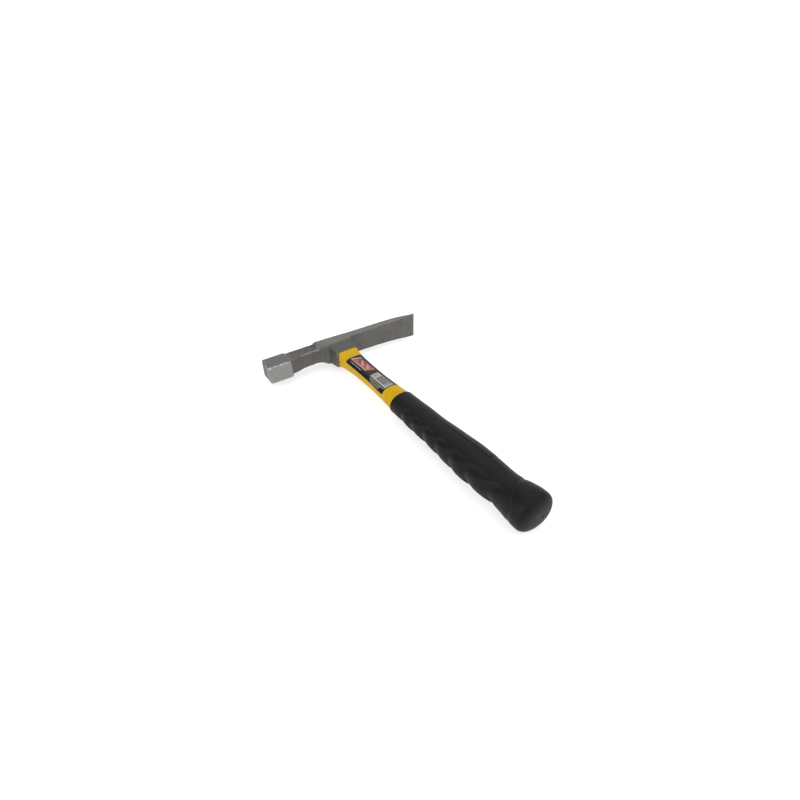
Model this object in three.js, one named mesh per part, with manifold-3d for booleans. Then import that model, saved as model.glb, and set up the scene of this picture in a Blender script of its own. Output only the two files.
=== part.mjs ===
// Brick hammer: a forged steel head on a moulded fibreglass handle with a rubber grip.
// Millimetres. +X runs down the handle from the head to the butt, +Y from the striking face to the
// cutting edge, and +Z across the head. The hammer lies on its side.
import * as THREE from "three";
import { mergeVertices } from "three/addons/utils/BufferGeometryUtils.js";
import Module from "manifold-3d";

const wasm = await Module();
wasm.setup();

// ---- driving dimensions ----
const HEAD_LENGTH = 190;          // striking face to cutting edge
const FACE_Y = -86.2;             // the striking face, measured from the handle's axis
const TIP_Y = FACE_Y + HEAD_LENGTH;
const POLL = { top: -13.3, depth: 21.4, width: 20.7, length: 26.5, chamfer: 1.5, edge: 0.8, backRound: 1.5 };
const NECK_START = FACE_Y + 19;   // inside the poll
const SKIRT = {
  rootX: 3.2, rootHalfY: 14.5, rootHalfZ: 12.4,
  end: 21.9, halfY: 13.1, halfZ: 9.9,
  corner: 1.2, lip: 0.5,
};
const GAP = 0.3;                  // clearance between pieces that touch on the real hammer
const HANDLE_LEAN = 1;            // degrees, handle towards the blade
const CROWN_SLOPE = 0.075;        // fall of the head's top over the eye, per mm along Y

const COLLAR_X = SKIRT.end + GAP; // where the jacket's collar meets the skirt
const SPIGOT = { start: 12.8, halfY: 10.4, halfZ: 7.2 }; // the jacket's end inside the eye
const EYE_TOP = -14.9;            // clear of the head's top
const OVERRUN = 1.5;              // how far a cutting tool passes the surface it opens
const GRIP_START = 123.8;         // the jacket's shoulder, where the rubber begins
const UNDERGRIP = { halfY: 11.3, halfZ: 8.7, power: 2.3, end: 286 };
const CORE = { halfY: 7.5, halfZ: 4.9, power: 3, top: -10.6, end: 280 };
const EPOXY_TOP = -11.2;          // the resin ends just under the head's crowned top
const BUTT_X = 302.2;             // flat end of the grip
const BUTT_CROWN = { length: 9, insetY: 7.2, insetZ: 9, shift: 1.3 }; // rounding up to the flat
const LABEL = { start: 36.6, end: 106.4, thickness: 0.25, from: -32, to: 164 }; // degrees round the jacket

const RING_SEGMENTS = 28;         // points round a handle section
const GRIP_STEP = 4.2;            // distance between the grip's sections

// finger lobes: ridges across the grip's lower side, each longer and taller than the one before;
// fullness below 1 widens the crests, valley is the share of the height that lies below the surface
const LOBES = { first: 143, pitch: 16, growth: 1.095, count: 6, height: 1.8, rise: 0.2, fullness: 0.8, valley: 0.6 };

// ---- materials ----
const steel = new THREE.MeshStandardMaterial({ color: 0x6b6964, roughness: 0.42, metalness: 0.9 });
const yellow = new THREE.MeshStandardMaterial({ color: 0xe0b010, roughness: 0.35, metalness: 0 });
const rubber = new THREE.MeshStandardMaterial({ color: 0x262625, roughness: 0.75, metalness: 0 });
const glassFibre = new THREE.MeshStandardMaterial({ color: 0xd9c98c, roughness: 0.6, metalness: 0 });
const resin = new THREE.MeshStandardMaterial({ color: 0x1c1a18, roughness: 0.3, metalness: 0 });
const film = new THREE.MeshStandardMaterial({ color: 0x141414, roughness: 0.3, metalness: 0 });

// ---- geometry helpers ----

// Smooth curve through rows of [position, value, value, ...]; gives the values at any position.
function through(rows) {
  const size = rows[0].length - 1;
  const positions = Float64Array.from(rows, (row) => row[0]);
  const values = Float64Array.from(rows.flatMap((row) => row.slice(1)));
  const curve = new THREE.CubicInterpolant(positions, values, size);
  return (position) => Array.from(curve.evaluate(position));
}

// Closed body through a row of rings with equal point counts. The rings turn counter-clockwise
// about the direction in which they advance.
function loft(rings) {
  const count = rings[0].length;
  const middle = (ring) => ring.reduce((sum, p) => sum.add(p), new THREE.Vector3()).divideScalar(count);
  const points = rings.flat();
  const last = (rings.length - 1) * count;
  const startHub = points.push(middle(rings[0])) - 1;
  const endHub = points.push(middle(rings[rings.length - 1])) - 1;
  const faces = [];
  for (let i = 0; i < count; i += 1) {
    const next = (i + 1) % count;
    faces.push(startHub, next, i);
    faces.push(endHub, last + i, last + next);
    for (let row = 0; row < last; row += count) {
      faces.push(row + i, row + next, row + count + i);
      faces.push(row + next, row + count + next, row + count + i);
    }
  }
  const geometry = new THREE.BufferGeometry().setFromPoints(points);
  geometry.setIndex(faces);
  return geometry;
}

// Rounded oblong ring across X: a superellipse, from an ellipse at power 2 to a near-rectangle at 8.
// lean tips the ring, so that x changes with y.
function ovalRing(x, halfY, halfZ, power, lean = 0) {
  const ring = [];
  for (let i = 0; i < RING_SEGMENTS; i += 1) {
    const angle = (2 * Math.PI * i) / RING_SEGMENTS;
    const y = halfY * Math.sign(Math.cos(angle)) * Math.abs(Math.cos(angle)) ** (2 / power);
    const z = halfZ * Math.sign(Math.sin(angle)) * Math.abs(Math.sin(angle)) ** (2 / power);
    ring.push(new THREE.Vector3(x + lean * y, y, z));
  }
  return ring;
}

// Rectangular ring across Y with cut corners: the two upper corners by (cutX, cutZ), the two lower
// ones by (lowX, lowZ).
function blockRing(y, top, bottom, halfZ, cutX, cutZ, lowX, lowZ) {
  const corners = [
    [bottom - lowX, halfZ], [bottom, halfZ - lowZ],
    [bottom, lowZ - halfZ], [bottom - lowX, -halfZ],
    [top + cutX, -halfZ], [top, cutZ - halfZ],
    [top, halfZ - cutZ], [top + cutX, halfZ],
  ];
  return corners.map(([x, z]) => new THREE.Vector3(x, y, z));
}

function toSolid(geometry) {
  const bare = geometry.clone();
  bare.deleteAttribute("normal");
  bare.deleteAttribute("uv");
  const merged = mergeVertices(bare, 1e-5);
  return new wasm.Manifold(new wasm.Mesh({
    numProp: 3,
    vertProperties: Float32Array.from(merged.attributes.position.array),
    triVerts: Uint32Array.from(merged.index.array),
  }));
}

function toGeometry(solid) {
  const mesh = solid.getMesh();
  const geometry = new THREE.BufferGeometry();
  geometry.setAttribute("position", new THREE.BufferAttribute(Float32Array.from(mesh.vertProperties), 3));
  geometry.setIndex(new THREE.BufferAttribute(Uint32Array.from(mesh.triVerts), 1));
  geometry.computeVertexNormals();
  return geometry;
}

function named(name, geometry, material) {
  const mesh = new THREE.Mesh(geometry, material);
  mesh.name = name;
  return mesh;
}

// ---- steel head ----

// Square poll with a chamfer round the striking face, and a rounded back where it meets the neck.
function pollBlock() {
  const { top, depth, width, length, chamfer, edge, backRound } = POLL;
  const bottom = top + depth;
  const cuts = [edge, edge, edge, edge];
  const ring = (y, inset) => blockRing(y, top + inset, bottom - inset, width / 2 - inset, ...cuts);
  const rings = [ring(FACE_Y, chamfer), ring(FACE_Y + chamfer, 0)];
  for (const turn of [0, Math.PI / 4, Math.PI / 2]) {
    const y = FACE_Y + length - backRound * (1 - Math.sin(turn));
    rings.push(ring(y, backRound * (1 - Math.cos(turn))));
  }
  return loft(rings);
}

// Neck, eye block and blade in one forged bar. Each station is
// [y, top, bottom, half width, upper cut X, upper cut Z, lower cut X, lower cut Z].
function spine() {
  const stations = [
    [NECK_START, -13.1, 5.8, 8.5, 0.6, 0.5, 0.5, 0.5],
    [-53.4, -13.1, 4.1, 8.5, 0.6, 0.5, 0.5, 0.5],
    [-44.8, -13.1, 1.6, 8.5, 0.7, 0.6, 0.5, 0.5],
    [-37.4, -13.1, 0.6, 8.5, 0.9, 0.7, 0.5, 0.5],
    [-29.9, -13.1, 0.6, 8.5, 1.1, 0.9, 0.6, 0.5],
    [-26, -13.1, 1.3, 8.6, 1.3, 0.9, 1.1, 0.6],
    [-23.9, -13.1, 1.8, 12.4, 4.5, 2.3, 6.6, 3.6],
    [-19.2, -12.8, 3.6, 12.6, 4.4, 2.2, 4.9, 3.1],
    [-15.5, -12.5, 6.8, 12.6, 4.2, 2.1, 2.3, 1.4],
    [13.9, -10.5, 6.8, 12.3, 3, 1.8, 0.5, 0.5],
    [16.5, -10.2, 1.9, 12.2, 2.8, 1.7, 0.5, 0.5],
    [29.9, -9.2, 2, 12, 2.1, 1.4, 0.5, 0.5],
    [47, -8, 2.6, 12.1, 1.6, 1.1, 0.5, 0.5],
    [64, -6.5, 3.4, 12.5, 1.3, 0.9, 0.5, 0.5],
    [79, -4.3, 4.7, 12.9, 1.1, 0.6, 0.5, 0.4],
    [90.7, -0.7, 5.8, 13.7, 0.6, 0.4, 0.4, 0.3],
    [99.1, 2.8, 6.2, 14.5, 0.4, 0.3, 0.3, 0.3],
    [TIP_Y, 4.2, 5.4, 15.4, 0.3, 0.2, 0.3, 0.2],
  ];
  return loft(stations.map((station) => blockRing(...station)));
}

// Skirt below the eye block, tapering to where the handle's collar begins.
function skirt() {
  const { rootX, rootHalfY, rootHalfZ, end, halfY, halfZ, corner, lip } = SKIRT;
  const shapeAt = (a, b) => {
    const outline = new THREE.Shape();
    outline.absarc(a - corner, b - corner, corner, 0, Math.PI / 2);
    outline.absarc(corner - a, b - corner, corner, Math.PI / 2, Math.PI);
    outline.absarc(corner - a, corner - b, corner, Math.PI, 1.5 * Math.PI);
    outline.absarc(a - corner, corner - b, corner, 1.5 * Math.PI, 2 * Math.PI);
    return outline.getPoints(3).slice(0, -1);
  };
  const ring = (x, a, b) => shapeAt(a, b).map((p) => new THREE.Vector3(x, p.x, p.y));
  return loft([ring(rootX, rootHalfY, rootHalfZ), ring(end - lip, halfY, halfZ),
    ring(end, halfY - lip, halfZ - lip)]);
}

// The eye waists in the middle of the head and flares at both ends, to lock the resin.
// Rows are [x, half width Y, half width Z].
const EYE_PROFILE = through([
  [EYE_TOP, 11.2, 8], [-6.4, 10.6, 7.4], [2.1, 10.4, 7.2], [12.8, 10.8, 7.6],
  [SKIRT.end + OVERRUN, 11.4, 8.2],
]);
const EYE_POWER = 3;

function eyeBody(start, end, inset, startLean) {
  const rings = [];
  const steps = 6;
  for (let i = 0; i <= steps; i += 1) {
    const x = THREE.MathUtils.lerp(start, end, i / steps);
    const [halfY, halfZ] = EYE_PROFILE(x);
    rings.push(ovalRing(x, halfY - inset, halfZ - inset, EYE_POWER, i === 0 ? startLean : 0));
  }
  return loft(rings);
}

function head() {
  const lean = new THREE.Matrix4().makeRotationZ(THREE.MathUtils.degToRad(HANDLE_LEAN));
  const hole = eyeBody(EYE_TOP, SKIRT.end + OVERRUN, 0, 0).applyMatrix4(lean);
  const body = toSolid(spine()).add(toSolid(pollBlock())).add(toSolid(skirt()));
  return named("head", toGeometry(body.subtract(toSolid(hole))), steel);
}

// ---- handle, straight along X in its own frame ----

// Jacket between the collar and the grip: rows are [x, half width Y, half width Z, power].
const JACKET_PROFILE = through([
  [COLLAR_X, 12.3, 9.4, 7], [25.6, 11.7, 9, 6], [29.9, 11, 8.5, 5], [36.3, 10.6, 8.3, 4.2],
  [48, 10, 8.1, 3.6], [64, 9.8, 8, 3.2], [81.1, 9.9, 8, 2.9], [96.1, 10.7, 8.3, 2.6],
  [108.9, 11.6, 9, 2.4], [GRIP_START, 12.6, 9.9, 2.3],
]);

function coreBody(clearance, start, end, startLean) {
  const ring = (x, lean) => ovalRing(x, CORE.halfY + clearance, CORE.halfZ + clearance, CORE.power, lean);
  return loft([ring(start, startLean), ring(end, 0)]);
}

function coreRod() {
  return named("core_rod", coreBody(0, CORE.top, CORE.end, CROWN_SLOPE), glassFibre);
}

function epoxyBond() {
  const fill = toSolid(eyeBody(EPOXY_TOP, SPIGOT.start - GAP, GAP, CROWN_SLOPE));
  const bore = toSolid(coreBody(GAP, EPOXY_TOP - OVERRUN, SPIGOT.start + OVERRUN, 0));
  return named("epoxy_bond", toGeometry(fill.subtract(bore)), resin);
}

function jacket() {
  const spigot = (x) => ovalRing(x, SPIGOT.halfY, SPIGOT.halfZ, EYE_POWER);
  const undergrip = (x) => ovalRing(x, UNDERGRIP.halfY, UNDERGRIP.halfZ, UNDERGRIP.power);
  const rings = [spigot(SPIGOT.start), spigot(COLLAR_X)];
  const bodySteps = 24;
  for (let i = 0; i <= bodySteps; i += 1) {
    const x = THREE.MathUtils.lerp(COLLAR_X, GRIP_START, i / bodySteps);
    rings.push(ovalRing(x, ...JACKET_PROFILE(x)));
  }
  rings.push(undergrip(GRIP_START), undergrip(UNDERGRIP.end));
  const bore = toSolid(coreBody(GAP, SPIGOT.start - OVERRUN, CORE.end + GAP, 0));
  return named("jacket", toGeometry(toSolid(loft(rings)).subtract(bore)), yellow);
}

// Printed film wrapped over the jacket's upper face and down both flanks, between two angles.
function label() {
  const across = 18;
  const lengthwise = 10;
  const strip = (x, offset) => {
    const [halfY, halfZ, power] = JACKET_PROFILE(x);
    const points = [];
    for (let i = 0; i <= across; i += 1) {
      const angle = THREE.MathUtils.degToRad(THREE.MathUtils.lerp(LABEL.from, LABEL.to, i / across));
      const y = (halfY + offset) * Math.sign(Math.cos(angle)) * Math.abs(Math.cos(angle)) ** (2 / power);
      const z = (halfZ + offset) * Math.sign(Math.sin(angle)) * Math.abs(Math.sin(angle)) ** (2 / power);
      points.push(new THREE.Vector3(x, y, z));
    }
    return points;
  };
  const rings = [];
  for (let i = 0; i <= lengthwise; i += 1) {
    const x = THREE.MathUtils.lerp(LABEL.start, LABEL.end, i / lengthwise);
    rings.push([...strip(x, GAP + LABEL.thickness), ...strip(x, GAP).reverse()]);
  }
  return named("label", shellLoft(rings), film);
}

// Like loft, for bent strips: each end is closed by a ladder of faces between its two long edges.
function shellLoft(rings) {
  const count = rings[0].length;
  const last = (rings.length - 1) * count;
  const faces = [];
  for (let i = 0; i < count; i += 1) {
    const next = (i + 1) % count;
    for (let row = 0; row < last; row += count) {
      faces.push(row + i, row + next, row + count + i);
      faces.push(row + next, row + count + next, row + count + i);
    }
  }
  for (let i = 0; i < count / 2 - 1; i += 1) {
    const across = count - 1 - i;
    faces.push(i, across - 1, i + 1, i, across, across - 1);
    faces.push(last + i, last + i + 1, last + across - 1, last + i, last + across - 1, last + across);
  }
  const geometry = new THREE.BufferGeometry().setFromPoints(rings.flat());
  geometry.setIndex(faces);
  return geometry;
}

// Grip without its lobes: rows are [x, half width Y, half width Z, shift towards the blade]. The
// rounding at the butt draws the section in by its insets, and shifts it further.
const GRIP_PROFILE = through([
  [GRIP_START + GAP, 13.7, 11.2, 0], [140.9, 14.1, 11.6, 0], [160.1, 14.6, 12.4, 0], [176.1, 14.6, 12.5, 0],
  [192.1, 15.5, 13.3, 0], [209.2, 16.4, 14.3, 0], [226.3, 17.3, 15.3, 0], [245.5, 17.1, 15.1, 0],
  [264.7, 16.2, 14.5, 0.2], [273.3, 16.5, 15.2, 0.5], [281.8, 17.9, 16.7, 0.9], [290.3, 19, 17.7, 1.1],
  [BUTT_X, 19.3, 17.9, 1.1],
]);
const GRIP_POWER = 2.15;
const BUTT_TURNS = [20, 36, 52, 68, 80, 90]; // degrees round the butt's crown

// Height of the finger lobes at a place along the grip: below 0 in a valley, above 0 on a crest.
function lobeHeight(x) {
  let start = LOBES.first;
  for (let i = 0; i < LOBES.count; i += 1) {
    const length = LOBES.pitch * LOBES.growth ** i;
    if (x >= start && x < start + length) {
      const crest = Math.sin((Math.PI * (x - start)) / length) ** LOBES.fullness;
      return (LOBES.height + LOBES.rise * i) * (crest - LOBES.valley);
    }
    start += length;
  }
  return 0;
}

function gripRing(x) {
  const overButt = THREE.MathUtils.clamp((x - BUTT_X) / BUTT_CROWN.length + 1, 0, 1);
  const shrink = 1 - Math.sqrt(1 - overButt ** 2);
  const [fullY, fullZ, shift] = GRIP_PROFILE(x);
  const halfY = fullY - BUTT_CROWN.insetY * shrink;
  const halfZ = fullZ - BUTT_CROWN.insetZ * shrink;
  const lobe = lobeHeight(x);
  return ovalRing(x, halfY, halfZ, GRIP_POWER).map((point, i) => {
    const towardsFingers = Math.max(0, -Math.cos((2 * Math.PI * i) / RING_SEGMENTS));
    point.y += shift + BUTT_CROWN.shift * shrink - lobe * towardsFingers ** 2;
    return point;
  });
}

function gripSleeve() {
  const rings = [];
  const straight = BUTT_X - BUTT_CROWN.length - (GRIP_START + GAP);
  const steps = Math.round(straight / GRIP_STEP);
  for (let i = 0; i <= steps; i += 1) {
    rings.push(gripRing(GRIP_START + GAP + (straight * i) / steps));
  }
  for (const turn of BUTT_TURNS) {
    const along = Math.sin(THREE.MathUtils.degToRad(turn));
    rings.push(gripRing(BUTT_X - BUTT_CROWN.length * (1 - along)));
  }
  const bore = loft([GRIP_START - OVERRUN, UNDERGRIP.end + GAP].map((x) => (
    ovalRing(x, UNDERGRIP.halfY + GAP, UNDERGRIP.halfZ + GAP, UNDERGRIP.power))));
  return named("grip_sleeve", toGeometry(toSolid(loft(rings)).subtract(toSolid(bore))), rubber);
}

// ---- assembly: everything hangs from the head; the handle's pieces lean together ----
const handle = new THREE.Group();
handle.rotation.z = THREE.MathUtils.degToRad(HANDLE_LEAN);
handle.add(coreRod(), epoxyBond(), jacket(), label(), gripSleeve());

const hammer = new THREE.Group();
hammer.add(head(), handle);

// origin: middle of the outline seen from above, on the plane that the hammer lies on
const model = new THREE.Group();
model.add(hammer);
const outline = new THREE.Box3().setFromObject(model, true);
const centre = outline.getCenter(new THREE.Vector3());
hammer.position.set(-centre.x, -centre.y, -outline.min.z);

export default model;
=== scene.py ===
import math

import bpy
import numpy as np
from mathutils import Matrix, Vector, noise


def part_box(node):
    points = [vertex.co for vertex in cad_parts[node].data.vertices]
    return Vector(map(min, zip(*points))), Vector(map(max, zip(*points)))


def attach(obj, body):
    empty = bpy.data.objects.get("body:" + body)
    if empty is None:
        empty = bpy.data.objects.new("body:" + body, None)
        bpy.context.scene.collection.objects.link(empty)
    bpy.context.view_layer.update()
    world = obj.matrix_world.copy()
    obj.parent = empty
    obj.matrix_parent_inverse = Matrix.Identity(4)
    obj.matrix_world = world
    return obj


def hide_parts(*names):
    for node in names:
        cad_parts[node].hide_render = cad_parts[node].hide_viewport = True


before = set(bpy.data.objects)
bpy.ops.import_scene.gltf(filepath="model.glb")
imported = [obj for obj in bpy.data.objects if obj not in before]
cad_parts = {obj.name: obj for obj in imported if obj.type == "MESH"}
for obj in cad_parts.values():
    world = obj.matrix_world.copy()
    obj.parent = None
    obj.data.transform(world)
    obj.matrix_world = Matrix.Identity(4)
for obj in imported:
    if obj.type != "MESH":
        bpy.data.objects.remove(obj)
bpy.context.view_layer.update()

MM = 0.001

# ---- driving dimensions, in millimetres ----
# The main ones are the CAD's. Its chamfer, roundings, gaps and label thickness are refined here, and
# the dome on the butt is longer.
HEAD_LENGTH = 190.0
FACE_Y = -86.2                    # striking face
TIP_Y = FACE_Y + HEAD_LENGTH      # cutting edge
POLL_TOP = -13.3
POLL_DEPTH = 21.4
POLL_WIDTH = 20.7
POLL_LENGTH = 26.5
POLL_BACK = FACE_Y + POLL_LENGTH
POLL_CORNER = 0.9
FACE_CHAMFER = 1.0
BACK_ROUND = 1.8
NECK_START = FACE_Y + 19          # inside the poll
NECK_END = -24.0                  # where the neck runs into the eye block
BLADE_END = 88.0                  # from here the blade's forged unevenness fades out
SKIRT_START, SKIRT_END = 3.2, 21.9
SKIRT_CORNER = 1.9
HANDLE_LEAN = math.radians(1)
COLLAR_GAP = 0.04
COLLAR_X = SKIRT_END + COLLAR_GAP
COLLAR_ROUND = 0.6
COLLAR_SHIFT = 0.35               # towards the blade side of the skirt
COLLAR_SHIFT_ENDS = (24, 35)      # positions over which the shift runs out
SPIGOT_START = 12.8
SPIGOT_HALF = (10.4, 7.2)
SPIGOT_CHAMFER = 0.4
GRIP_START = 123.8
CORE_HALF = (7.8, 5.2)            # the bore for the rod
CORE_END = 280.3
BORE_POWER = 3                    # of the superellipses in the eye and round the rod
UNDERGRIP_HALF = (11.3, 8.7)
UNDERGRIP_END = 286.0
UNDERGRIP_POWER = 2.3
GRIP_GAP = 0.05                   # between the grip's bore and the jacket
GRIP_LIP = 0.7                    # rounding of the grip's front edge
BUTT_X = 303.3                    # top of the dome that ends the grip
BUTT_DOME = {"length": 10.0, "power": 2.75, "shift": 2.7}
LABEL_START, LABEL_END = 36.6, 106.4
LABEL_ANGLES = (-32, 164)         # round the handle, from the blade side over the upper face
LABEL_TOP = 8.2                   # height of the label's upper face above the handle's axis
LABEL_LIFT = 0.04
LABEL_THICKNESS = 0.09
LABEL_CORNER = 0.9
VOXEL = 0.4                       # of the head's mesh
EDGE_GAIN = 6                     # brings the turning of the head's edges to about 1

# where the head's axes sit in the frame
low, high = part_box("head")
HEAD_ORIGIN = Vector((low[0] - POLL_TOP * MM, low[1] - FACE_Y * MM, (low[2] + high[2]) / 2))
HEAD_PLACE = Matrix.Translation(HEAD_ORIGIN)
HANDLE_PLACE = HEAD_PLACE @ Matrix.Rotation(HANDLE_LEAN, 4, "Z")


# ---- curves ----

def through(rows):
    """Monotone cubic through rows of (position, value, ...); returns the values at any positions."""
    rows = np.array(rows, float)
    xs, ys = rows[:, 0], rows[:, 1:]
    step = np.diff(xs)[:, None]
    slope = np.diff(ys, axis=0) / step
    tangent = np.zeros_like(ys)
    tangent[0], tangent[-1] = slope[0], slope[-1]
    before = 2 * step[1:] + step[:-1]
    after = step[1:] + 2 * step[:-1]
    with np.errstate(divide="ignore", invalid="ignore"):
        mean = (before + after) / (before / slope[:-1] + after / slope[1:])
    tangent[1:-1] = np.where(slope[:-1] * slope[1:] > 0, mean, 0)

    def at(x):
        x = np.atleast_1d(np.asarray(x, float))
        i = np.clip(np.searchsorted(xs, x) - 1, 0, len(xs) - 2)
        h = step[i]
        t = ((x - xs[i]) / h[:, 0])[:, None]
        value = (2 * t**3 - 3 * t**2 + 1) * ys[i] + (t**3 - 2 * t**2 + t) * h * tangent[i]
        return value + (3 * t**2 - 2 * t**3) * ys[i + 1] + (t**3 - t**2) * h * tangent[i + 1]

    return at


def smoothstep(low_edge, high_edge, value):
    t = np.clip((value - low_edge) / (high_edge - low_edge), 0, 1)
    return t * t * (3 - 2 * t)


def bell(distance, reach):
    """1 at no distance, falling smoothly to about a third at reach."""
    return np.exp(-(distance / reach) ** 2)


def oval(angles, half_y, half_z, power):
    """Superellipse points (y, z) at the given angles."""
    c, s = np.cos(angles), np.sin(angles)
    y = half_y * np.sign(c) * np.abs(c) ** (2 / power)
    z = half_z * np.sign(s) * np.abs(s) ** (2 / power)
    return y, z


def arc_length(y, z):
    return np.concatenate([[0], np.cumsum(np.hypot(np.diff(y), np.diff(z)))])


def even_angles(count, half_y, half_z, power):
    """Angles that space the points of a superellipse evenly."""
    fine = np.linspace(0, 2 * math.pi, 4001)
    length = arc_length(*oval(fine, half_y, half_z, power))
    return np.interp(np.linspace(0, length[-1], count, endpoint=False), length, fine)


def ring_at(x, angles, half_y, half_z, power):
    y, z = oval(angles, half_y, half_z, power)
    return np.stack([np.full_like(y, x), y, z], axis=1)


# ---- mesh making ----

def new_object(name, mesh, place, material):
    """A piece that rides on the root body."""
    obj = bpy.data.objects.new(name, mesh)
    obj.matrix_world = place
    bpy.context.scene.collection.objects.link(obj)
    mesh.materials.clear()
    mesh.materials.append(material)
    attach(obj, "root")
    return obj


def shade(mesh, sharp_angle):
    """Smooth shading, with edges above sharp_angle degrees kept sharp when one is given."""
    mesh.shade_smooth()
    if sharp_angle:
        mesh.set_sharp_from_angle(angle=math.radians(sharp_angle))


def make_mesh(name, points, faces, sharp_angle):
    mesh = bpy.data.meshes.new(name)
    mesh.from_pydata((points * MM).tolist(), [], faces)
    mesh.validate()
    mesh.update()
    shade(mesh, sharp_angle)
    return mesh


def side_faces(rows, count):
    """Quads between successive rings."""
    faces = []
    for row in range(rows - 1):
        a = row * count
        for i in range(count):
            j = (i + 1) % count
            faces.append((a + i, a + j, a + count + j, a + count + i))
    return faces


def body_mesh(name, rings, sharp_angle=35):
    """A closed body from rings of (x, y, z), with a fan on a hub at each end."""
    rings = np.array(rings, float)
    rows, count = rings.shape[:2]
    points = np.concatenate([rings.reshape(-1, 3), [rings[0].mean(axis=0), rings[-1].mean(axis=0)]])
    faces = side_faces(rows, count)
    hub_start = rows * count
    hub_end = hub_start + 1
    last = (rows - 1) * count
    for i in range(count):
        j = (i + 1) % count
        faces.append((hub_start, j, i))
        faces.append((hub_end, last + i, last + j))
    return make_mesh(name, points, faces, sharp_angle)


def film_mesh(name, rings, across, sharp_angle=35):
    """A thin film from rings that run out along its upper face and back along its lower one."""
    rings = np.array(rings)
    rows, count = rings.shape[:2]
    faces = side_faces(rows, count)
    last = (rows - 1) * count
    for i in range(across - 1):
        k = count - 1 - i
        faces.append((i, k, k - 1, i + 1))
        faces.append((last + i, last + i + 1, last + k - 1, last + k))
    return make_mesh(name, rings.reshape(-1, 3), faces, sharp_angle)


def read_vectors(items, attribute):
    """One row of three numbers for each item of a mesh collection."""
    flat = np.empty(len(items) * 3)
    items.foreach_get(attribute, flat)
    return flat.reshape(-1, 3)


def read_edges(mesh):
    flat = np.empty(len(mesh.edges) * 2, int)
    mesh.edges.foreach_get("vertices", flat)
    return flat.reshape(-1, 2)


def set_vertices(mesh, points):
    mesh.vertices.foreach_set("co", (points * MM).ravel())
    mesh.update()


def relax(points, edges, weight, rounds):
    """Average every point with its neighbours, by its own weight."""
    ends = np.concatenate([edges, edges[:, ::-1]])
    total = np.bincount(ends[:, 0], minlength=len(points))
    for _ in range(rounds):
        mean = np.stack([
            np.bincount(ends[:, 0], weights=points[ends[:, 1], k], minlength=len(points)) / total
            for k in range(3)
        ], axis=1)
        points = points + (mean - points) * weight[:, None]
    return points


def store_edge_wear_and_highlight(mesh, points, edges):
    """Keep on each vertex how sharply the surface turns outwards there: 0 on flats, about 1 on edges."""
    normals = read_vectors(mesh.vertices, "normal")
    even = np.ones(len(points))
    inward = relax(points, edges, even, 1) - points
    turning = -(inward * normals).sum(axis=1) / VOXEL
    wear_and_highlight = relax(np.stack([turning] * 3, axis=1), edges, 0.5 * even, 3)[:, 0]
    # kept for the steel's lighter edges, which carry a painted highlight as well as the marks of use
    stored = mesh.attributes.new("edge_wear_and_highlight", "FLOAT", "POINT")
    stored.data.foreach_set("value", np.clip(wear_and_highlight * EDGE_GAIN, 0, 1))


# ---- steel head ----

def block_ring(y, top, bottom, half_z, cut_x, cut_z, low_x, low_z):
    """Rectangle across the head, with its upper corners cut by cut_x, cut_z and its lower by low_x, low_z."""
    corners = [
        (bottom - low_x, half_z), (bottom, half_z - low_z),
        (bottom, low_z - half_z), (bottom - low_x, -half_z),
        (top + cut_x, -half_z), (top, cut_z - half_z),
        (top, half_z - cut_z), (top + cut_x, half_z),
    ]
    return [(x, y, z) for x, z in corners]


# neck, eye block and blade: the rows are what block_ring takes
SPINE = [
    (NECK_START, -13.1, 5.8, 8.5, 0.6, 0.5, 0.5, 0.5),
    (-53.4, -13.1, 5.0, 8.7, 0.6, 0.5, 0.6, 0.6),
    (-44.8, -13.1, 2.7, 8.7, 0.7, 0.6, 0.6, 0.6),
    (-37.4, -13.1, 2.2, 8.8, 0.9, 0.7, 0.6, 0.6),
    (-29.9, -13.1, 2.1, 8.8, 1.1, 0.9, 0.6, 0.6),
    (-26.0, -13.1, 2.2, 8.9, 1.3, 0.9, 1.1, 0.6),
    (-23.9, -13.1, 2.4, 12.4, 4.5, 2.3, 6.6, 3.6),
    (-19.2, -12.8, 3.6, 12.6, 4.4, 2.2, 4.9, 3.1),
    (-15.5, -12.5, 6.8, 12.6, 4.2, 2.1, 2.3, 1.4),
    (13.9, -10.5, 6.8, 12.3, 3.0, 1.8, 0.5, 0.5),
    (16.5, -10.2, 1.9, 12.2, 2.8, 1.7, 0.5, 0.5),
    (29.9, -9.2, 2.3, 12.1, 2.1, 1.4, 0.5, 0.5),
    (47.0, -8.1, 2.9, 12.2, 1.6, 1.1, 0.5, 0.5),
    (64.0, -6.6, 3.7, 12.6, 1.3, 0.9, 0.5, 0.5),
    (79.0, -4.4, 4.9, 13.1, 1.1, 0.6, 0.5, 0.4),
    (90.7, -0.8, 5.9, 13.9, 0.6, 0.4, 0.4, 0.3),
    (99.1, 2.8, 6.2, 14.5, 0.4, 0.3, 0.3, 0.3),
    (TIP_Y, 4.2, 5.4, 15.4, 0.3, 0.2, 0.3, 0.2),
]
# eye: position down the handle, half width, half height
EYE = [(-14.9, 11.2, 8.0), (-6.4, 10.6, 7.4), (2.1, 10.4, 7.2), (12.8, 10.8, 7.6), (23.4, 11.4, 8.2)]
EYE_SURROUND = {"middle": 0.1, "half_y": 11.6, "half_z": 8.2}   # in here the surface stays true
# sections of the skirt: position, half width, half height
SKIRT = [(SKIRT_START, 14.5, 12.4), (SKIRT_END - 0.25, 13.1, 9.9), (SKIRT_END, 12.85, 9.65)]
# pits where the neck runs into the eye block; the bias leaves only the deeper ones
PITS = {"middle": -31.0, "reach": 8.0, "depth": 0.75, "size": 1.7, "bias": 0.12}
UNEVEN = 0.12                     # height of the forged skin's waves
WAVES = ((0.6, 7.0), (0.4, 2.6))  # share and size of each


def spine_rings():
    stations = [row[0] for row in SPINE]
    ys = np.unique(np.concatenate([stations, np.arange(NECK_START, TIP_Y, 2.0)]))
    return [block_ring(y, *row) for y, row in zip(ys, through(SPINE)(ys))]


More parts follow.
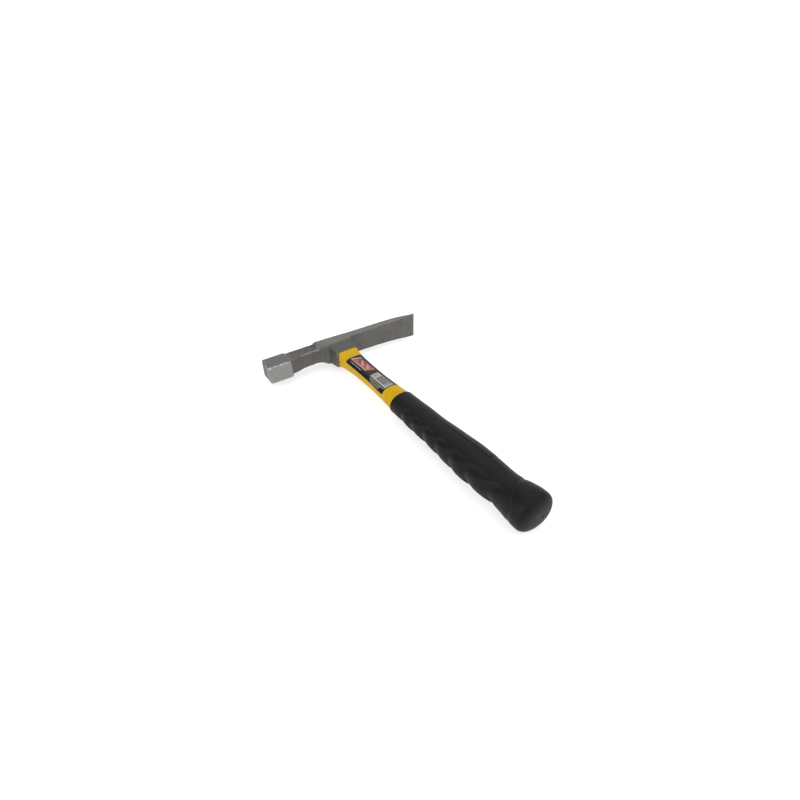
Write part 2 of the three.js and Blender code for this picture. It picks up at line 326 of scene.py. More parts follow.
def poll_rings():
    bottom = POLL_TOP + POLL_DEPTH

    def ring(y, inset):
        return block_ring(y, POLL_TOP + inset, bottom - inset, POLL_WIDTH / 2 - inset, *[POLL_CORNER] * 4)

    rings = [ring(FACE_Y, FACE_CHAMFER), ring(FACE_Y + FACE_CHAMFER, 0)]
    for turn in np.radians([0, 22.5, 45, 67.5, 90]):
        rings.append(ring(POLL_BACK - BACK_ROUND * (1 - math.sin(turn)), BACK_ROUND * (1 - math.cos(turn))))
    return rings


def skirt_rings():
    def ring(x, half_y, half_z):
        points = []
        for side_y, side_z, start in ((1, 1, 0), (-1, 1, 90), (-1, -1, 180), (1, -1, 270)):
            for turn in (0, 30, 60, 90):
                angle = math.radians(start + turn)
                y = side_y * (half_y - SKIRT_CORNER) + SKIRT_CORNER * math.cos(angle)
                z = side_z * (half_z - SKIRT_CORNER) + SKIRT_CORNER * math.sin(angle)
                points.append((x, y, z))
        return points

    return [ring(*row) for row in SKIRT]


def eye_rings():
    """Tapered hole for the handle, which leans with it."""
    angles = np.linspace(0, 2 * math.pi, 64, endpoint=False)
    c, s = math.cos(HANDLE_LEAN), math.sin(HANDLE_LEAN)
    section = through(EYE)
    rings = []
    for x in np.linspace(EYE[0][0], EYE[-1][0], 12):
        y, z = oval(angles, *section(x)[0], BORE_POWER)
        rings.append(np.stack([c * x - s * y, s * x + c * y, z], axis=1))
    return rings


def plain_object(name, rings):
    obj = bpy.data.objects.new(name, body_mesh(name, rings))
    bpy.context.scene.collection.objects.link(obj)
    return obj


def forged_solid():
    """The spine, poll and skirt joined, with the eye cut through, as one fine and even mesh."""
    body = plain_object("head_body", spine_rings())
    tools = [
        (plain_object("head_poll", poll_rings()), "UNION"),
        (plain_object("head_skirt", skirt_rings()), "UNION"),
        (plain_object("head_eye", eye_rings()), "DIFFERENCE"),
    ]
    for tool, operation in tools:
        cut = body.modifiers.new(operation, "BOOLEAN")
        cut.object = tool
        cut.operation = operation
        cut.solver = "EXACT"
    remesh = body.modifiers.new("remesh", "REMESH")
    remesh.mode = "VOXEL"
    remesh.voxel_size = VOXEL * MM
    graph = bpy.context.evaluated_depsgraph_get()
    mesh = bpy.data.meshes.new_from_object(body.evaluated_get(graph))
    for obj in [body] + [tool for tool, _ in tools]:
        bpy.data.objects.remove(obj)
    return mesh


def head_mesh():
    mesh = forged_solid()
    points = read_vectors(mesh.vertices, "co") / MM
    edges = read_edges(mesh)
    y = points[:, 1]
    # forged edges are rounded; the ground poll and the blade's end stay crisp
    on_poll = 1 - smoothstep(POLL_BACK - 1, POLL_BACK + 1, y)
    weight = 0.5 - 0.32 * smoothstep(BLADE_END, BLADE_END + 9, y) - 0.28 * on_poll
    points = relax(points, edges, weight, 7)
    set_vertices(mesh, points)
    height = np.abs(points[:, 2])
    # the forged parts are uneven; the ground poll, the blade's end and the eye stay true
    forged = smoothstep(POLL_BACK - 0.5, POLL_BACK + 3, y) * (1 - smoothstep(BLADE_END, BLADE_END + 10, y))
    across_eye = np.abs(y - EYE_SURROUND["middle"])
    in_eye = (across_eye < EYE_SURROUND["half_y"]) & (height < EYE_SURROUND["half_z"])
    forged = np.where(in_eye, 0, forged)
    waves = [sum(share * noise.noise(Vector(p / size)) for share, size in WAVES) for p in points]
    pitted = bell(y - PITS["middle"], PITS["reach"]) * smoothstep(6.5, 8, height)
    pits = [min(0, noise.noise(Vector(p / PITS["size"])) + PITS["bias"]) for p in points]
    rise = (UNEVEN * np.array(waves) + PITS["depth"] * np.array(pits) * pitted) * forged
    points = points + read_vectors(mesh.vertices, "normal") * rise[:, None]
    set_vertices(mesh, points)
    shade(mesh, None)
    store_edge_wear_and_highlight(mesh, points, edges)
    mesh.name = "head_forging"
    return mesh


# ---- handle ----

# jacket from the collar to the grip: position, half width, half height, power
JACKET_ROWS = [
    (22.2, 12.0, 9.5, 7.0), (25.6, 11.7, 9.2, 6.0), (29.9, 11.1, 8.7, 5.0), (36.3, 10.6, 8.3, 4.2),
    (48.0, 10.0, 8.1, 3.6), (64.0, 9.8, 8.0, 3.2), (81.1, 9.9, 8.0, 2.9), (96.1, 10.7, 8.3, 2.6),
    (108.9, 11.6, 9.0, 2.4), (GRIP_START, 12.6, 9.9, 2.3),
]
JACKET = through(JACKET_ROWS)
JACKET_POINTS = 112


def jacket_ring(x, section_x, inset):
    """The jacket's section at section_x, drawn in by inset, placed at x."""
    half_y, half_z, power = JACKET(section_x)[0]
    angles = even_angles(JACKET_POINTS, half_y, half_z, power)
    shift = COLLAR_SHIFT * (1 - smoothstep(*COLLAR_SHIFT_ENDS, x))
    return ring_at(x, angles, half_y - inset, half_z - inset, power) + (0, shift, 0)


def jacket_mesh():
    rings = []
    bore = even_angles(JACKET_POINTS, *CORE_HALF, BORE_POWER)
    for x in (CORE_END, SPIGOT_START):
        rings.append(ring_at(x, bore, *CORE_HALF, BORE_POWER))
    spigot = even_angles(JACKET_POINTS, *SPIGOT_HALF, BORE_POWER)
    for x, inset in ((SPIGOT_START, SPIGOT_CHAMFER), (SPIGOT_START + SPIGOT_CHAMFER, 0), (COLLAR_X, 0)):
        rings.append(ring_at(x, spigot, SPIGOT_HALF[0] - inset, SPIGOT_HALF[1] - inset, BORE_POWER))
    # the collar's edge is rounded
    for turn in np.radians([0, 30, 60, 90]):
        x = COLLAR_X + COLLAR_ROUND * (1 - math.cos(turn))
        inset = COLLAR_ROUND * (1 - math.sin(turn))
        rings.append(jacket_ring(x, max(x, JACKET_ROWS[0][0]), inset))
    for x in np.linspace(COLLAR_X + 1, GRIP_START, 96):
        rings.append(jacket_ring(x, x, 0))
    under = even_angles(JACKET_POINTS, *UNDERGRIP_HALF, UNDERGRIP_POWER)
    for x in (GRIP_START, UNDERGRIP_END):
        rings.append(ring_at(x, under, *UNDERGRIP_HALF, UNDERGRIP_POWER))
    return body_mesh("jacket_moulding", rings)


def label_mesh():
    """Thin printed film over the upper face, round both edges; its corners are rounded."""
    across = 90
    corner = LABEL_CORNER
    outside = LABEL_LIFT + LABEL_THICKNESS
    rounding = corner * (1 - np.cos(np.radians([0, 12, 24, 38, 52, 66, 78])))
    straight = np.linspace(LABEL_START + corner, LABEL_END - corner, 110)
    fine = np.radians(np.linspace(*LABEL_ANGLES, 1500))
    rings = []
    for x in np.concatenate([LABEL_START + rounding, straight, LABEL_END - rounding[::-1]]):
        half_y, half_z, power = JACKET(x)[0]
        length = arc_length(*oval(fine, half_y, half_z, power))
        near_end = max(0, corner - min(x - LABEL_START, LABEL_END - x)) / corner
        trim = corner * (1 - math.sqrt(max(0, 1 - near_end**2)))
        at = np.interp(np.linspace(trim, length[-1] - trim, across), length, fine)
        upper = ring_at(x, at, half_y + outside, half_z + outside, power)
        lower = ring_at(x, at[::-1], half_y + LABEL_LIFT, half_z + LABEL_LIFT, power)
        rings.append(np.concatenate([upper, lower]))
    return film_mesh("label_film", rings, across)


# ---- grip ----

# position, half width, half height, shift towards the blade side
GRIP = through([
    (GRIP_START, 13.7, 11.2, 0), (140.9, 14.1, 11.6, 0), (160.1, 14.6, 12.4, 0),
    (176.1, 14.6, 12.5, 0), (192.1, 15.5, 13.3, 0), (209.2, 16.4, 14.3, 0), (226.3, 17.3, 15.3, 0),
    (245.5, 17.1, 15.1, 0), (264.7, 16.2, 14.5, 0.2), (273.3, 16.5, 15.2, 0.5),
    (281.8, 17.9, 16.7, 0.9), (290.3, 19.0, 17.7, 1.1), (BUTT_X, 19.3, 17.9, 1.1),
])
GRIP_POWER = 2.15
GRIP_POINTS = 220
GRIP_SPACING = (15.5, 13.5)       # half sizes of the section round which the points are even
MM_PER_DEGREE = 0.27              # round the grip, near the thumb pad
VALLEYS = [141.2, 156.0, 173.8, 193.0, 212.6, 234.8, 261.2]  # between the lobes, on the finger side
VALLEY_DRIFT = {"by": 5.2, "at": 42, "until": 46, "power": 2.4}
VALLEY_ENDS = (42, 60)            # angles from the finger side over which the valleys run out
FIRST_VALLEY = {"depth": 1.27, "reach": 3.5}
LAST_VALLEY = {"depth": 2.0, "reach": 5.5}
LOBE_SIZE = 1.575
LOBE_GROWTH = 0.189               # each lobe is larger than the one before
VALLEY_SHARE = 0.85               # of a lobe's size that lies below the plain oval
# above 1 the crests sit nearer the butt; the skew rises by "more" between the two angles
LOBE_SKEW = {"middle": 1.15, "more": 0.85, "angles": (24, 42)}
PAD = {"start": 166.5, "end": 243.5, "half_angle": 80.0, "height": 0.3}   # thumb pad, blade side
CREASE = {"angle": 84, "depth": 0.14, "end": 268}    # runs on from the pad's corner to the knob
# groove in front of the knob: angle from the blade side, position
KNOB_GROOVE = through([
    (0, 273.4), (48, 273.6), (87, 274.6), (112, 280.0), (135, 284.2), (161, 286.0), (180, 286.2),
])
KNOB_GROOVE_DEPTH = 0.5
MOULD_MARK = ((0.95, 0), (0.85, 0.3), (0.8, 1.4), (0.6, 1.7))   # radius and depth, in the butt's end


def lobe_height(x, side):
    """Finger lobes; side is the angle from the finger side, in degrees.

    Away from the finger side the valleys drift towards the butt, and run out on the broad faces.
    """
    height = np.zeros_like(x)
    turned = np.minimum(side, VALLEY_DRIFT["until"]) / VALLEY_DRIFT["at"]
    drift = VALLEY_DRIFT["by"] * turned ** VALLEY_DRIFT["power"]
    skew = LOBE_SKEW["middle"] + LOBE_SKEW["more"] * smoothstep(*LOBE_SKEW["angles"], side)
    for i, (start, end) in enumerate(zip(VALLEYS, VALLEYS[1:])):
        along = (x - start - drift) / (end - start)
        crest = np.sin(math.pi * np.clip(along, 0, 1) ** skew)
        size = LOBE_SIZE + LOBE_GROWTH * i
        height = np.where((along >= 0) & (along < 1), size * (crest - VALLEY_SHARE), height)
    before = VALLEYS[0] + drift - x
    beyond = x - VALLEYS[-1] - drift
    height = np.where(before > 0, -FIRST_VALLEY["depth"] * bell(before, FIRST_VALLEY["reach"]), height)
    height = np.where(beyond >= 0, -LAST_VALLEY["depth"] * bell(beyond, LAST_VALLEY["reach"]), height)
    return height * (1 - smoothstep(*VALLEY_ENDS, side))


def pad_height(x, around):
    """Thumb pad inside a moulded groove, which deepens towards the butt."""
    start, end = PAD["start"], PAD["end"]
    inward = np.minimum(np.minimum(x - start, end - x), (PAD["half_angle"] - around) * MM_PER_DEGREE)
    pad = PAD["height"] * smoothstep(-0.5, 0.5, inward) * smoothstep(start, start + 25, x)
    depth = 0.15 + 0.45 * smoothstep(start + 5, start + 50, x)
    return pad - depth * bell(inward, 0.6)


def crease_height(x, around):
    """Crease that runs on from the pad to the knob."""
    start, end = PAD["end"], CREASE["end"]
    along = smoothstep(start - 2, start + 4, x) * (1 - smoothstep(end, end + 7, x))
    return -CREASE["depth"] * bell((around - CREASE["angle"]) * MM_PER_DEGREE, 0.7) * along


def grip_offset(x, angle):
    """How far the grip's surface stands off its plain oval, at x and at an angle in degrees."""
    around = np.abs((angle + 180) % 360 - 180)   # 0 on the blade side, 180 on the finger side
    offset = lobe_height(x, 180 - around) + pad_height(x, around) + crease_height(x, around)
    # groove in front of the knob, steeper on its front side
    beyond = x - KNOB_GROOVE(around)[:, 0]
    offset = offset - KNOB_GROOVE_DEPTH * bell(beyond, np.where(beyond < 0, 1.0, 2.4))
    return offset * (1 - smoothstep(BUTT_X - BUTT_DOME["length"], BUTT_X - 4, x))


def grip_stations():
    """Positions along the grip, each with the front lip's inset and the section's share left on the dome."""
    front = GRIP_START + GRIP_GAP
    dome_start = BUTT_X - BUTT_DOME["length"]
    stations = []
    for turn in np.radians([0, 25, 50, 75]):
        stations.append((front + GRIP_LIP * (1 - math.cos(turn)), GRIP_LIP * (1 - math.sin(turn)), 1))
    stations += [(x, 0, 1) for x in np.linspace(front + GRIP_LIP, dome_start, 230)]
    power = 2 / BUTT_DOME["power"]
    for turn in np.radians(np.linspace(4, 88, 22)):
        x = dome_start + BUTT_DOME["length"] * math.sin(turn) ** power
        stations.append((x, 0, math.cos(turn) ** power))
    return stations


def mould_mark_rings(edge):
    """Small moulding mark let into the top of the dome, inside the ring edge."""
    middle = edge.mean(axis=0)
    spoke = (edge - middle) / np.linalg.norm(edge - middle, axis=1)[:, None]
    return [middle + spoke * radius - (depth, 0, 0) for radius, depth in MOULD_MARK]


def grip_mesh():
    rings = []
    bore_half = (UNDERGRIP_HALF[0] + GRIP_GAP, UNDERGRIP_HALF[1] + GRIP_GAP)
    bore = even_angles(GRIP_POINTS, *bore_half, UNDERGRIP_POWER)
    for x in (UNDERGRIP_END + GRIP_GAP, GRIP_START + GRIP_GAP):
        rings.append(ring_at(x, bore, *bore_half, UNDERGRIP_POWER))
    angles = even_angles(GRIP_POINTS, *GRIP_SPACING, GRIP_POWER)
    for x, inset, share in grip_stations():
        half_y, half_z, shift = GRIP(x)[0]
        ring = ring_at(x, angles, half_y * share - inset, half_z * share - inset, GRIP_POWER)
        normal = np.stack([np.cos(angles) / half_y, np.sin(angles) / half_z], axis=1)
        normal /= np.linalg.norm(normal, axis=1)[:, None]
        offset = grip_offset(np.full(GRIP_POINTS, x), np.degrees(angles))
        ring[:, 1:] += normal * offset[:, None]
        ring[:, 1] += shift + BUTT_DOME["shift"] * (1 - share)
        rings.append(ring)
    rings += mould_mark_rings(rings[-1])
    return body_mesh("grip_moulding", rings, None)


# ---- materials ----

def connect(tree, source, target):
    """Link a socket, or set its value where the source is a number."""
    if isinstance(source, (int, float)):
        target.default_value = source
    else:
        tree.links.new(source, target)


def set_range(tree, node, value, low_in, high_in, low_out, high_out):
    """Fill in a Map Range node that eases in and out."""
    node.interpolation_type = "SMOOTHSTEP"
    sources = {
        "Value": value, "From Min": low_in, "From Max": high_in, "To Min": low_out, "To Max": high_out,
    }
    for name, source in sources.items():
        connect(tree, source, node.inputs[name])
    return node.outputs[0]


class Nodes:
    """Short hand for building one material's node tree."""

    def __init__(self, name):
        self.material = bpy.data.materials.new(name)
        self.material.use_nodes = True
        self.tree = self.material.node_tree
        self.shader = self.tree.nodes["Principled BSDF"]
        self.place = self.add("ShaderNodeTexCoord").outputs["Object"]

    def add(self, kind, **settings):
        node = self.tree.nodes.new(kind)
        for key, value in settings.items():
            setattr(node, key, value)
        return node

    def link(self, source, target):
        connect(self.tree, source, target)

    def math(self, operation, *values):
        node = self.add("ShaderNodeMath", operation=operation)
        for value, socket in zip(values, node.inputs):
            self.link(value, socket)
        return node.outputs[0]

    def plus(self, first, *others):
        for other in others:
            first = self.math("ADD", first, other)
        return first

    def times(self, first, *others):
        for other in others:
            first = self.math("MULTIPLY", first, other)
        return first

    def less(self, first, second):
        return self.math("SUBTRACT", first, second)

    def noise(self, per_mm, detail=3.0, roughness=0.55, stretch=(1, 1, 1), distortion=0.0):
        """Noise with about per_mm features in a millimetre."""
        mapping = self.add("ShaderNodeMapping")
        mapping.inputs["Scale"].default_value = stretch
        self.link(self.place, mapping.inputs["Vector"])
        node = self.add("ShaderNodeTexNoise")
        self.link(mapping.outputs[0], node.inputs["Vector"])
        node.inputs["Scale"].default_value = per_mm / MM
        node.inputs["Detail"].default_value = detail
        node.inputs["Roughness"].default_value = roughness
        node.inputs["Distortion"].default_value = distortion
        return node.outputs[0]

    def between(self, value, low_in, high_in, low_out=0.0, high_out=1.0):
        """low_out up to low_in, high_out from high_in on, eased between them."""
        return set_range(self.tree, self.add("ShaderNodeMapRange"), value, low_in, high_in, low_out, high_out)

    def band(self, value, start, end, soft=0.08):
        """1 between start and end, 0 outside."""
        rise = self.between(value, start - soft, start + soft)
        fall = self.between(value, end - soft, end + soft, 1.0, 0.0)
        return self.times(rise, fall)

    def mix(self, factor, first, second):
        node = self.add("ShaderNodeMix", data_type="RGBA")
        self.link(factor, node.inputs["Factor"])
        for socket, value in ((node.inputs[6], first), (node.inputs[7], second)):
            if isinstance(value, tuple):
                socket.default_value = (*value, 1)
            else:
                self.link(value, socket)
        return node.outputs[2]

    def tint(self, base, shade, strength, *masks):
        """base, taken towards shade by strength where every mask is 1."""
        return self.mix(self.times(*masks, strength), base, shade)

    def bump(self, height, distance_mm, before=None):
        node = self.add("ShaderNodeBump")
        node.inputs["Distance"].default_value = distance_mm * MM
        node.inputs["Strength"].default_value = 1.0
        self.link(height, node.inputs["Height"])
        if before is not None:
            self.link(before, node.inputs["Normal"])
        return node.outputs[0]

    def axes(self):
        """The object's coordinates in millimetres."""
        node = self.add("ShaderNodeSeparateXYZ")
        self.link(self.place, node.inputs[0])
        return [self.times(node.outputs[k], 1 / MM) for k in range(3)]

    def set(self, **values):
        """Set or link the shader's sockets by name; a tuple is a colour."""
        for key, value in values.items():
            socket = self.shader.inputs[key.replace("_", " ")]
            if isinstance(value, tuple):
                socket.default_value = (*value, 1)
            else:
                self.link(value, socket)


def steel_material():
    """Forged skin, dull and mottled, with painted light on its broad sides and painted shade on the skirt;
    the poll and the cutting edge are ground, with painted shade on the poll's broad sides; edges are lighter
    from use and carry a painted highlight.
    """
    m = Nodes("forged_steel")
    x, y, _ = m.axes()
    broad = m.noise(0.06, 4, 0.6)
    blotch = m.noise(0.35, 5, 0.65, distortion=0.6)
    fine = m.noise(2.2, 3, 0.6)
    neck = m.band(y, POLL_BACK + 2, NECK_END, 3)
    poll = m.between(y, POLL_BACK - 1.1, POLL_BACK - 0.5, 1.0, 0.0)
    # the broad faces, found from the normal; they carry painted light on the forged skin and painted shade on
    # the poll
    normal = m.add("ShaderNodeSeparateXYZ")
    m.link(m.add("ShaderNodeTexCoord").outputs["Normal"], normal.inputs[0])
    sides = m.between(m.math("ABSOLUTE", normal.outputs[2]), 0.75, 0.98)

    skin = m.mix(m.between(blotch, 0.36, 0.66), (0.12, 0.116, 0.106), (0.174, 0.168, 0.156))
    skin = m.tint(skin, (0.1, 0.096, 0.087), 0.4, m.between(broad, 0.35, 0.65))
    skin = m.tint(skin, (0.082, 0.078, 0.07), 1.0, neck, m.between(x, -9, -2, 0.4, 0.1))
    # the two broad sides, which the hammer lies on, are painted lighter: painted light that stands in for the
    # light on the upper face
    bar = m.times(m.between(x, 3.5, 6.0, 1.0, 0.0), m.less(1.0, neck))
    skin = m.tint(skin, (0.225, 0.22, 0.209), 0.6, sides, bar)
    # the skirt round the handle is painted darker: painted shade
    skirt = m.times(m.between(x, 4.0, 8.0), m.band(y, -15.5, 15.0, 0.5))
    skin = m.tint(skin, (0.092, 0.089, 0.08), 0.55, skirt)
    # fine pale specks along the neck
    specks = m.between(m.noise(0.8, 2, 0.5), 0.6, 0.7)
    skin = m.tint(skin, (0.26, 0.25, 0.235), 0.5, specks, neck)
    # scale left in the pits where the neck runs into the eye block
    pitted = m.times(m.band(y, PITS["middle"] - 7, NECK_END - 0.5, 3), sides, m.between(x, 0, 4, 1.0, 0.0))
    scale = m.between(m.noise(0.75, 4, 0.7), 0.46, 0.56)
    skin = m.tint(skin, (0.04, 0.038, 0.034), 0.75, pitted, scale)

    # grinding lines run round the poll and along the cutting edge
    lines = m.noise(1.6, 3, 0.6, stretch=(0.12, 1, 0.12))
    bright = m.mix(m.between(lines, 0.35, 0.65), (0.195, 0.193, 0.187), (0.25, 0.247, 0.24))
    # painted shade: the poll's broad faces are made darker than its other ground faces
    bright = m.tint(bright, (0.1, 0.098, 0.094), 0.9, sides)
    bright = m.tint(bright, (0.4, 0.396, 0.386), 0.3, m.between(fine, 0.45, 0.62))
    # the striking face is darker towards its upper edge
    upper_edge_darkening = m.between(m.plus(x, m.times(blotch, 6.0)), -4.0, 8.0)
    struck_face_tone = m.mix(upper_edge_darkening, (0.02, 0.02, 0.019), (0.15, 0.148, 0.143))
    bright = m.mix(m.between(y, FACE_Y + 0.2, FACE_Y + 1.1, 0.95, 0.0), bright, struck_face_tone)
    tip = m.times(m.between(y, 98.7, 99.5), 0.1)
    ledge = m.times(m.between(x, SKIRT_END - 0.35, SKIRT_END - 0.15), m.band(y, -16, -10, 0.5))
    ground = m.math("MAXIMUM", m.math("MAXIMUM", poll, tip), m.times(ledge, 0.6))

    # edges are lighter in places, partly from use and partly a painted highlight: most along the neck and the
    # poll, hardly at the skirt's end
    patchy = m.between(m.noise(0.45, 3, 0.6), 0.35, 0.6, -0.18, 0.2)
    along = m.plus(
        m.between(y, -50, -38, -0.1, 0.15),
        m.between(y, -26, -18, 0.0, -0.4),
        m.between(y, POLL_BACK - 6, POLL_BACK - 2.5, 0.25, 0.0),
        m.times(m.band(y, POLL_BACK - 2.5, POLL_BACK + 1, 0.5), -0.35),
    )
    wear_and_highlight = m.add("ShaderNodeAttribute", attribute_name="edge_wear_and_highlight").outputs["Fac"]
    wear_and_highlight = m.plus(wear_and_highlight, m.plus(patchy, along))
    skirt_end = m.times(m.between(x, 18, 20), m.band(y, -16, 16, 0.5))
    worn_and_highlit = m.times(m.between(wear_and_highlight, 0.3, 0.85, 0.0, 0.8), m.less(1.0, m.times(skirt_end, 0.6)))

    dull = m.between(blotch, 0.3, 0.7, 0.56, 0.68)
    polished = m.between(lines, 0.3, 0.7, 0.34, 0.42)
    rough = m.plus(dull, m.times(ground, m.less(polished, dull)))
    unground = m.less(1.0, m.times(ground, 0.9))
    coarse = m.bump(m.times(blotch, unground), 0.12)
    m.set(
        Base_Color=m.mix(worn_and_highlit, m.mix(ground, skin, bright), (0.55, 0.545, 0.53)),
        Metallic=0.8,
        Roughness=m.less(rough, m.times(worn_and_highlit, 0.15)),
        Normal=m.bump(fine, 0.02, before=coarse),
    )
    return m.material


def jacket_material():
    m = Nodes("yellow_moulding")
    tone = m.between(m.noise(0.08, 3), 0.3, 0.7)
    m.set(
        Base_Color=m.mix(tone, (0.475, 0.283, 0.0035), (0.525, 0.32, 0.005)),
        Roughness=m.between(m.noise(0.6, 3), 0.3, 0.7, 0.38, 0.48),
        Specular_IOR_Level=0.1,
        Normal=m.bump(m.noise(1.6, 2, 0.5), 0.02),
    )
    return m.material


def label_material():
    """Black film printed with plain panels, bars and dashes; it carries no lettering."""
    m = Nodes("printed_film")
    x, y, z = m.axes()
    above = m.between(z, 0.0, 1.0)
    # distance round the film from the middle of its upper face
    fall = m.times(m.math("MAXIMUM", m.less(LABEL_TOP, z), 0.0), 0.75)
    side = m.plus(y, m.times(fall, m.math("SIGN", y)))
    smudge = m.noise(0.5, 3, 0.6)
    film = m.mix(m.between(m.noise(0.1, 2), 0.3, 0.7), (0.003, 0.003, 0.0032), (0.0045, 0.0045, 0.0048))
    # its upper face is greyer than the sides
    film = m.mix(m.between(z, LABEL_TOP - 2.2, LABEL_TOP - 0.6), film, (0.022, 0.022, 0.0205))

    def panel(along, start, end, side_start, side_end, soft=0.12):
        return m.times(m.band(along, start, end, soft), m.band(side, side_start, side_end, soft))

    def paint(base, shade, strength, *masks):
        return m.tint(base, shade, strength, *masks, above)

    # a slanted red panel, pale along its near side, with pale diagonal strokes
    slant = m.plus(x, m.times(side, -0.45))
    red = m.mix(m.between(slant, 42, 66), (0.15, 0.032, 0.027), (0.37, 0.1, 0.078))
    colour = paint(film, (0.4, 0.235, 0.205), 1.0, panel(slant, 40.2, 69.2, -5.3, 4.6))
    colour = paint(colour, red, 1.0, panel(slant, 43.4, 68.9, -3.7, 4.4))
    diagonal = m.plus(x, m.times(side, 1.5), m.times(smudge, 3.0))
    strokes = m.between(m.math("SINE", m.times(diagonal, 0.6)), -0.1, 0.7)
    colour = paint(colour, (0.5, 0.3, 0.25), 0.75, panel(slant, 46.0, 67.0, -2.6, 3.0), strokes)

    # a silver panel with rows of bars and one short red bar
    colour = paint(colour, (0.33, 0.328, 0.305), 1.0, panel(x, 77.2, 105.0, -6.2, 4.5))
    colour = paint(colour, (0.24, 0.24, 0.222), 0.9, panel(x, 84.5, 103.0, -4.4, 4.0))
    ripple = m.plus(m.math("SINE", m.times(x, 1.9)), m.times(smudge, 2.4))
    broken = m.between(ripple, 0.3, 0.7)
    for k in range(4):
        bar = panel(x, 85.3, 102.2 - 3.0 * (k % 2), 2.3 - 2.0 * k, 3.6 - 2.0 * k, 0.2)
        colour = paint(colour, (0.02, 0.021, 0.019), 0.95, bar, broken)
    colour = paint(colour, (0.24, 0.12, 0.11), 0.7, panel(x, 79.2, 82.0, -3.9, 0.9, 0.3))

    # rows of plain dashes where small print would be: start, end, middle, height of each row
    rows = (
        (42.5, 62.0, -8.3, 1.0), (79.0, 105.0, -8.1, 1.0),
        (79.5, 100.0, -10.1, 0.9), (83.0, 98.5, -12.0, 0.8),
    )
    for k, (start, end, middle, height) in enumerate(rows):
        beat = m.plus(m.times(x, 1.9 + 0.35 * k), m.times(smudge, 5.0 + k))
        dashes = m.between(m.math("SINE", beat), -0.55, 0.1)
        row = panel(x, start, end, middle - height / 2, middle + height / 2, 0.2)
        colour = paint(colour, (0.46, 0.455, 0.44), 0.85, row, dashes)
    m.set(
        Base_Color=colour,
        Roughness=m.between(m.noise(0.4, 3), 0.3, 0.7, 0.3, 0.4),
        Specular_IOR_Level=0.16,
        Normal=m.bump(m.noise(0.15, 2), 0.05),
    )
    return m.material


def rubber_material():
    m = Nodes("black_rubber")
    tone = m.between(m.noise(0.05, 3), 0.3, 0.7)
    coarse = m.bump(m.noise(0.9, 3, 0.6), 0.05)
    m.set(
        Base_Color=m.mix(tone, (0.0038, 0.0038, 0.0037), (0.0055, 0.0055, 0.0053)),
        Roughness=m.between(m.noise(0.3, 4), 0.3, 0.7, 0.43, 0.52),
        Specular_IOR_Level=0.16,
        Normal=m.bump(m.noise(3.5, 2, 0.5), 0.015, before=coarse),
    )
    return m.material


def fibre_material():
    """Pultruded glass fibre, cut across: pale resin with strands along the rod."""
    m = Nodes("glass_fibre")
    strand = m.noise(1.4, 4, 0.7, stretch=(0.06, 1, 1))
    m.set(
        Base_Color=m.mix(m.between(strand, 0.35, 0.65), (0.5, 0.42, 0.22), (0.78, 0.7, 0.45)),
        Roughness=m.between(strand, 0.3, 0.7, 0.45, 0.65),
        Normal=m.bump(strand, 0.05),
    )
    return m.material


def resin_material():
    m = Nodes("cast_resin")
    cloud = m.noise(0.25, 3)
    m.set(
        Base_Color=m.mix(m.between(cloud, 0.35, 0.65), (0.012, 0.011, 0.01), (0.028, 0.025, 0.022)),
        Roughness=m.between(cloud, 0.3, 0.7, 0.16, 0.34),
        Normal=m.bump(m.noise(0.4, 3), 0.15),
    )
    return m.material


def floor_material():
    """Pale sheet, lit from within a little so that the shadows on it stay faint."""
    m = Nodes("studio_floor")
    m.set(
        Base_Color=(0.45, 0.45, 0.45),
        Roughness=0.9,
        Specular_IOR_Level=0.1,
        Emission_Color=(1.0, 1.0, 1.0),
        Emission_Strength=0.68,
    )
    return m.material


# ---- stage, light and camera ----

FLOOR_HALF = 40.0                 # metres, so that its edge is out of sight
AMBIENT = 0.4                     # light from every side
BACKDROP = 1.2                    # what the camera sees behind the floor
# light in the dome: its direction, the cosines where it starts and where it is full, and its strength
SOFT_BOXES = {
    "overhead": ((0, 0.1, 1), 0.6, 0.95, 1.0),
    "behind": ((-0.6, 0.5, 0.45), 0.7, 0.97, 0.5),
    "right": ((0.75, 0.35, 0.5), 0.6, 0.95, 0.8),
    "front": ((-0.1, -0.85, 0.5), 0.92, 0.99, 4.4),
    "horizon": ((0, 0, -1), -0.2, -0.04, 0.7),
}
# angles in degrees, place in millimetres from the head's origin
CAMERA = {"azimuth": 55.70, "elevation": 37.67, "roll": -0.72, "place": (446.10, -218.87, 303.95)}
LENS, SENSOR = 22.5, 36


def add_floor():
    mesh = bpy.data.meshes.new("floor")
    corners = [(x * FLOOR_HALF, y * FLOOR_HALF, 0) for x, y in ((-1, -1), (1, -1), (1, 1), (-1, 1))]
    mesh.from_pydata(corners, [], [(0, 1, 2, 3)])
    mesh.materials.append(floor_material())
    floor = bpy.data.objects.new("floor", mesh)
    bpy.context.scene.collection.objects.link(floor)


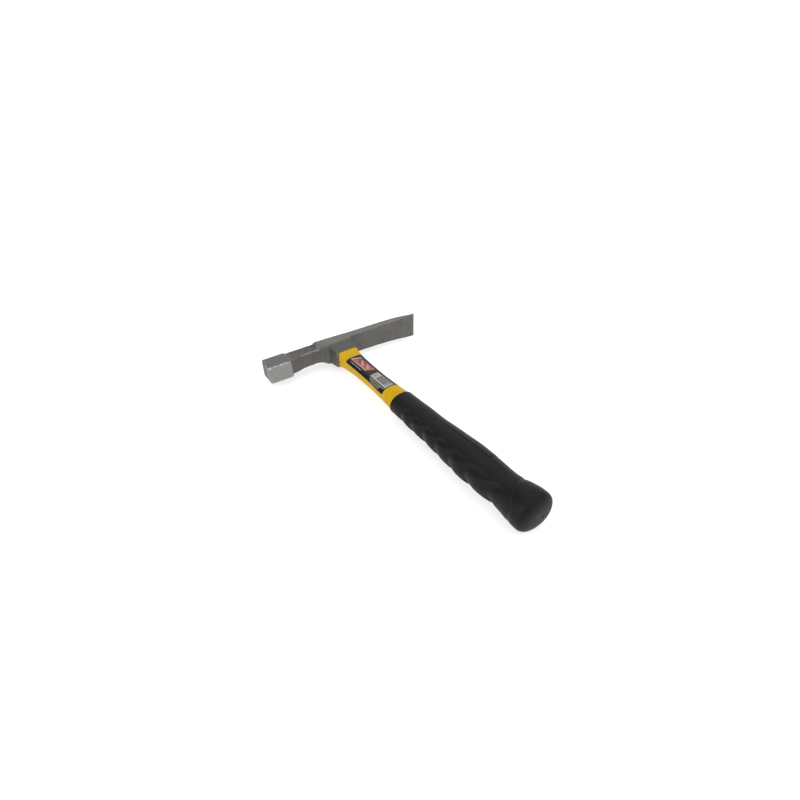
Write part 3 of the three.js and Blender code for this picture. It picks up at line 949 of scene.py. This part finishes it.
def add_world():
    """A dim dome with soft boxes lights the hammer; behind the floor the camera sees plain white."""
    world = bpy.data.worlds.new("studio")
    bpy.context.scene.world = world
    world.use_nodes = True
    tree = world.node_tree
    direction = tree.nodes.new("ShaderNodeTexCoord").outputs["Generated"]
    total = AMBIENT
    for axis, start, full, strength in SOFT_BOXES.values():
        dot = tree.nodes.new("ShaderNodeVectorMath")
        dot.operation = "DOT_PRODUCT"
        dot.inputs[1].default_value = Vector(axis).normalized()
        connect(tree, direction, dot.inputs[0])
        ramp = tree.nodes.new("ShaderNodeMapRange")
        add = tree.nodes.new("ShaderNodeMath")
        add.operation = "ADD"
        connect(tree, set_range(tree, ramp, dot.outputs["Value"], start, full, 0.0, strength), add.inputs[0])
        connect(tree, total, add.inputs[1])
        total = add.outputs[0]
    seen = tree.nodes.new("ShaderNodeMix")
    connect(tree, tree.nodes.new("ShaderNodeLightPath").outputs["Is Camera Ray"], seen.inputs["Factor"])
    connect(tree, total, seen.inputs["A"])
    connect(tree, BACKDROP, seen.inputs["B"])
    dome = tree.nodes["Background"]
    dome.inputs["Color"].default_value = (1, 1, 1, 1)
    connect(tree, seen.outputs["Result"], dome.inputs["Strength"])


def add_camera():
    data = bpy.data.cameras.new("camera")
    data.sensor_width = SENSOR
    data.lens = LENS
    data.clip_start = 0.01
    camera = bpy.data.objects.new("camera", data)
    azimuth, elevation, roll = (math.radians(CAMERA[key]) for key in ("azimuth", "elevation", "roll"))
    level = math.cos(elevation)
    back = Vector((math.sin(azimuth) * level, -math.cos(azimuth) * level, math.sin(elevation)))
    right = (-back).cross(Vector((0, 0, 1))).normalized()
    up = right.cross(-back)
    rolled_right = math.cos(roll) * right + math.sin(roll) * up
    rolled_up = -math.sin(roll) * right + math.cos(roll) * up
    turn = Matrix((rolled_right, rolled_up, back)).transposed().to_4x4()
    camera.matrix_world = HEAD_PLACE @ Matrix.Translation(Vector(CAMERA["place"]) * MM) @ turn
    bpy.context.scene.collection.objects.link(camera)
    bpy.context.scene.camera = camera
    bpy.context.scene.view_settings.view_transform = "Standard"


# ---- pieces ----

head = new_object("head_forging", head_mesh(), HEAD_PLACE, steel_material())
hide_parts("head")
jacket = new_object("jacket_moulding", jacket_mesh(), HANDLE_PLACE, jacket_material())
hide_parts("jacket")
label = new_object("label_film", label_mesh(), HANDLE_PLACE, label_material())
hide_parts("label")
grip = new_object("grip_moulding", grip_mesh(), HANDLE_PLACE, rubber_material())
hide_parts("grip_sleeve")

# the rod and the resin keep their CAD meshes
for node, material in (("core_rod", fibre_material()), ("epoxy_bond", resin_material())):
    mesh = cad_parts[node].data
    mesh.materials.clear()
    mesh.materials.append(material)

add_floor()
add_world()
add_camera()
